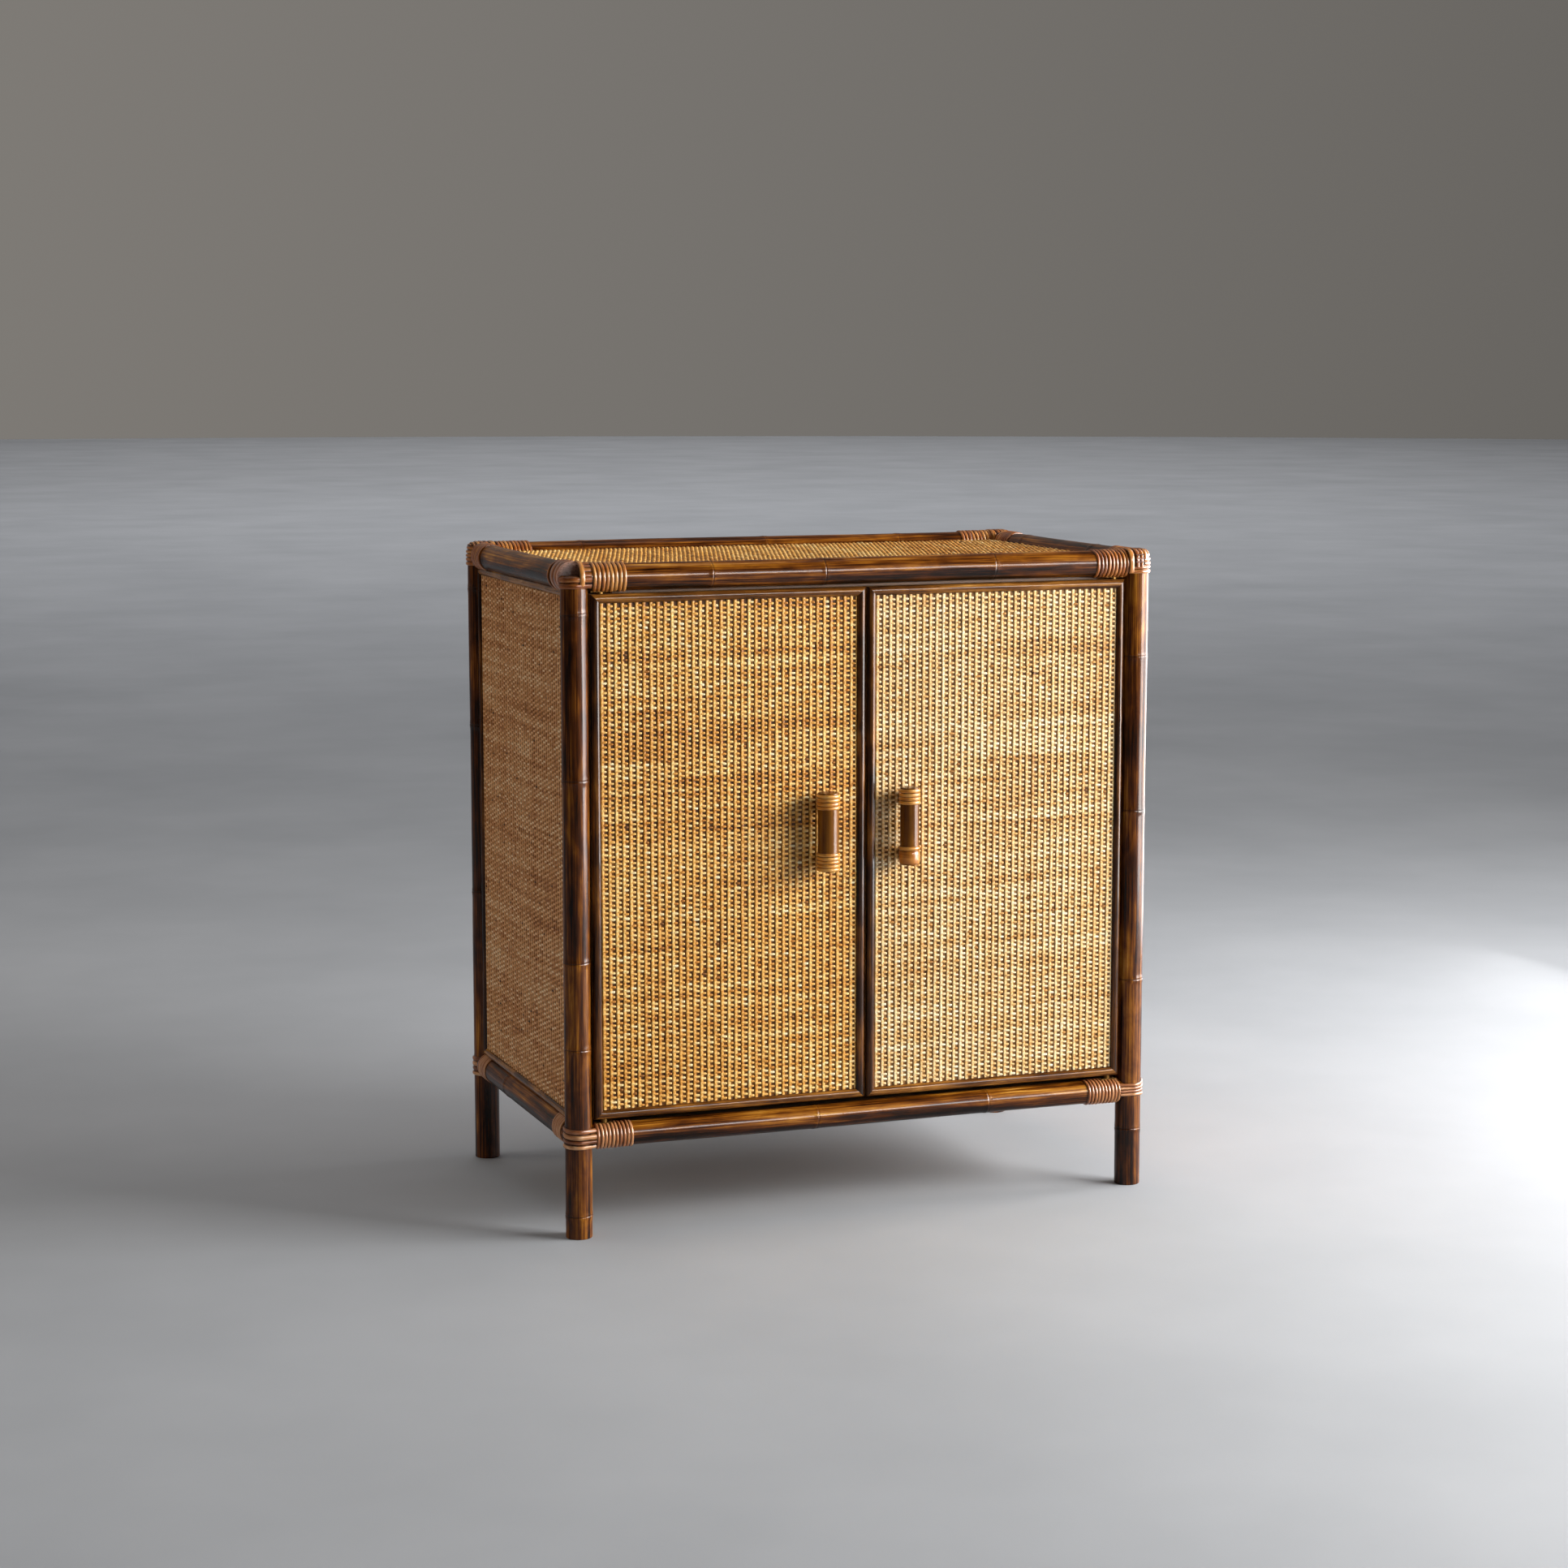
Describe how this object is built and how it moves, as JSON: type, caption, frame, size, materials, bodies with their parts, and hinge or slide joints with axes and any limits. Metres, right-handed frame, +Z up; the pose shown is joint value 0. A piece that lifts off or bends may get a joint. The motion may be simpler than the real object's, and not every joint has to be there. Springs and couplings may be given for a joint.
{
  "type": "rattan cabinet with doors",
  "caption": "Low rattan cabinet with a pole frame, woven cane top, sides and hinged doors with pole handles, and an inner shelf, standing on short post legs.",
  "frame": {"origin": "on the floor, under the middle of the whole outline, handles included", "axes": "+Z up, -Y towards a person who stands in front of the doors, +X to that person's right"},
  "size_m": [0.758, 0.4713, 0.802],
  "materials": {
    "pole": "dark stained rattan pole, satin lacquer",
    "cane_lashing": "split cane, stained, satin lacquer",
    "beading": "half-round rattan, stained, satin lacquer",
    "door_weave": "woven split cane, natural, satin",
    "side_weave": "woven split cane, natural, satin",
    "top_weave": "woven split cane, natural, satin",
    "board": "plywood, clear lacquer",
    "plain_wood": "plain timber, clear lacquer",
    "handle_pole": "brown rattan pole, satin lacquer",
    "handle_binding": "split cane, golden, satin lacquer",
    "brass": "plain brass",
    "steel": "zinc plated",
    "catch_plastic": "brown moulded",
    "magnet": "black ferrite"
  },
  "bodies": {
    "carcass": {"back_beading": "beading", "back_board": "board", "back_weave": "side_weave", "bottom_back_left_lashing": "cane_lashing", "bottom_back_right_lashing": "cane_lashing", "bottom_board": "board", "bottom_front_left_lashing": "cane_lashing", "bottom_front_right_lashing": "cane_lashing", "bottom_rail_back": "pole", "bottom_rail_front": "pole", "bottom_rail_left": "pole", "bottom_rail_right": "pole", "catch_case": "catch_plastic", "catch_magnets": "magnet", "catch_screws": "steel", "door_stop_batten": "plain_wood", "joint_dowels": "plain_wood", "left_side_beading": "beading", "left_side_board": "board", "left_side_weave": "side_weave", "pivot_pins": "brass", "pivot_plates": "brass", "pivot_washers": "brass", "post_back_left": "pole", "post_back_right": "pole", "post_front_left": "pole", "post_front_right": "pole", "right_side_beading": "beading", "right_side_board": "board", "right_side_weave": "side_weave", "shelf": "board", "shelf_pins": "steel", "top_back_left_lashing": "cane_lashing", "top_back_right_lashing": "cane_lashing", "top_board": "board", "top_front_left_lashing": "cane_lashing", "top_front_right_lashing": "cane_lashing", "top_rail_back": "pole", "top_rail_front": "pole", "top_rail_left": "pole", "top_rail_right": "pole", "top_weave": "top_weave"},
    "left_door": {"left_door_beading": "beading", "left_door_board": "board", "left_door_weave": "door_weave", "left_handle_bindings": "handle_binding", "left_handle_pole": "handle_pole", "left_handle_screws": "steel", "left_handle_spacers": "plain_wood", "left_pivot_bushes": "brass", "left_strike_plate": "steel"},
    "right_door": {"right_door_beading": "beading", "right_door_board": "board", "right_door_weave": "door_weave", "right_handle_bindings": "handle_binding", "right_handle_pole": "handle_pole", "right_handle_screws": "steel", "right_handle_spacers": "plain_wood", "right_pivot_bushes": "brass", "right_strike_plate": "steel"}
  },
  "joints": [
    {"name": "left_door_hinge", "type": "hinge", "parent": "carcass", "child": "left_door", "pos_m": [-0.33, -0.19435, 0.454], "axis": [0, 0, -1], "range_deg": [0, 105]},
    {"name": "right_door_hinge", "type": "hinge", "parent": "carcass", "child": "right_door", "pos_m": [0.33, -0.19435, 0.454], "axis": [0, 0, 1], "range_deg": [0, 105]}
  ]
}
